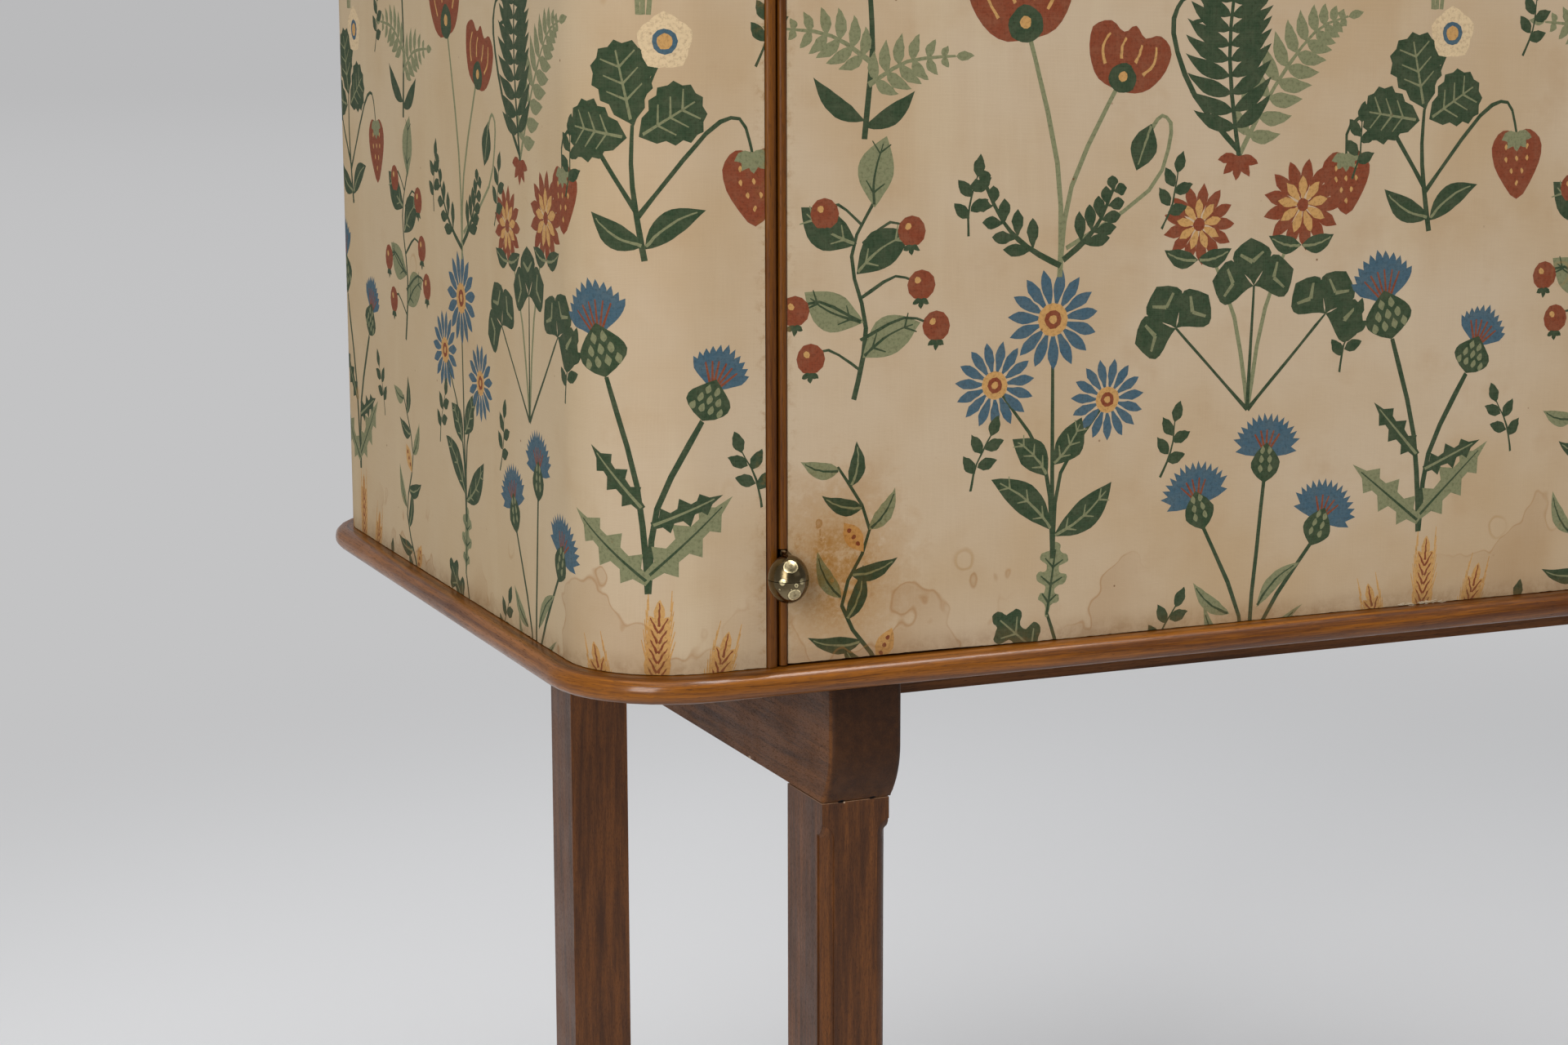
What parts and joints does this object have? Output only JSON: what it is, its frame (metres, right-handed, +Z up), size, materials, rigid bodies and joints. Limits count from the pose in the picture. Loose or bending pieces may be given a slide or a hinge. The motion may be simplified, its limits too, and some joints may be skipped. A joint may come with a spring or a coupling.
{
  "type": "upholstered cabinet",
  "caption": "Rounded cabinet with hinged doors, covered in printed cloth with mahogany edge mouldings, on a mahogany stand with square legs; brass egg hinges.",
  "frame": {"origin": "on the floor, below the middle of the whole object's box, which runs from the key's bow to the back edge of the boards", "axes": "+Z up, +X to the viewer's right, -Y to the front, where the doors are"},
  "size_m": [1.1604, 0.4962, 1.4249],
  "materials": {
    "mahogany": "satin polish",
    "inner_mahogany": "satin",
    "printed_cloth": "matte linen with a printed plant pattern, worn and stained",
    "brass": "tarnished polish",
    "steel": "brushed"
  },
  "bodies": {
    "frame": {"front_left_leg": "mahogany", "front_right_leg": "mahogany", "back_left_leg": "mahogany", "back_right_leg": "mahogany", "left_bearer": "mahogany", "right_bearer": "mahogany", "front_rail": "mahogany", "back_rail": "mahogany", "front_left_base_screw": "steel", "front_right_base_screw": "steel", "back_left_base_screw": "steel", "back_right_base_screw": "steel", "base_board": "mahogany", "top_board": "mahogany", "bottom_panel": "inner_mahogany", "top_panel": "inner_mahogany", "front_left_post": "inner_mahogany", "front_right_post": "inner_mahogany", "back_left_post": "inner_mahogany", "back_right_post": "inner_mahogany", "left_side_panel": "inner_mahogany", "right_side_panel": "inner_mahogany", "back_panel": "inner_mahogany", "centre_partition": "inner_mahogany", "left_lower_shelf": "inner_mahogany", "left_upper_shelf": "inner_mahogany", "right_lower_shelf": "inner_mahogany", "right_upper_shelf": "inner_mahogany", "left_side_cover": "printed_cloth", "right_side_cover": "printed_cloth", "back_cover": "printed_cloth", "left_stile_strip": "mahogany", "right_stile_strip": "mahogany", "lower_left_hinge_frame_half": "brass", "upper_left_hinge_frame_half": "brass", "lower_right_hinge_frame_half": "brass", "upper_right_hinge_frame_half": "brass"},
    "left_door": {"left_door_panel": "inner_mahogany", "left_door_cover": "printed_cloth", "left_door_hinge_strip": "mahogany", "left_door_meeting_strip": "mahogany", "lower_left_hinge_door_half": "brass", "upper_left_hinge_door_half": "brass", "top_slide_bolt_case": "brass", "bottom_slide_bolt_case": "brass", "lock_keeper": "steel"},
    "top_slide_bolt": {"top_slide_bolt": "brass"},
    "bottom_slide_bolt": {"bottom_slide_bolt": "brass"},
    "right_door": {"right_door_panel": "inner_mahogany", "right_door_cover": "printed_cloth", "right_door_hinge_strip": "mahogany", "right_door_meeting_strip": "mahogany", "lower_right_hinge_door_half": "brass", "upper_right_hinge_door_half": "brass", "lock_case": "steel", "escutcheon": "brass"},
    "lock_bolt": {"lock_bolt": "steel"},
    "key": {"key": "brass"}
  },
  "joints": [
    {"name": "left_door_swing", "type": "hinge", "parent": "frame", "child": "left_door", "pos_m": [-0.4881, -0.2311, 0.6643], "axis": [0, 0, -1], "range_deg": [0, 180]},
    {"name": "right_door_swing", "type": "hinge", "parent": "frame", "child": "right_door", "pos_m": [0.4881, -0.2311, 0.6643], "axis": [0, 0, 1], "range_deg": [0, 180]},
    {"name": "key_turn", "type": "hinge", "parent": "right_door", "child": "key", "pos_m": [0.0274, -0.2201, 1.0494], "axis": [0, -1, 0], "range_deg": [0, 180]},
    {"name": "lock_bolt_throw", "type": "slide", "parent": "right_door", "child": "lock_bolt", "axis": [-1, 0, 0], "range_m": [0, 0.009]},
    {"name": "top_slide_bolt_throw", "type": "slide", "parent": "left_door", "child": "top_slide_bolt", "axis": [0, 0, 1], "range_m": [0, 0.011]},
    {"name": "bottom_slide_bolt_throw", "type": "slide", "parent": "left_door", "child": "bottom_slide_bolt", "axis": [0, 0, -1], "range_m": [0, 0.011]}
  ],
  "couplings": [
    {"joint": "key_turn", "follows": "lock_bolt_throw", "rad_per_m": 349}
  ]
}
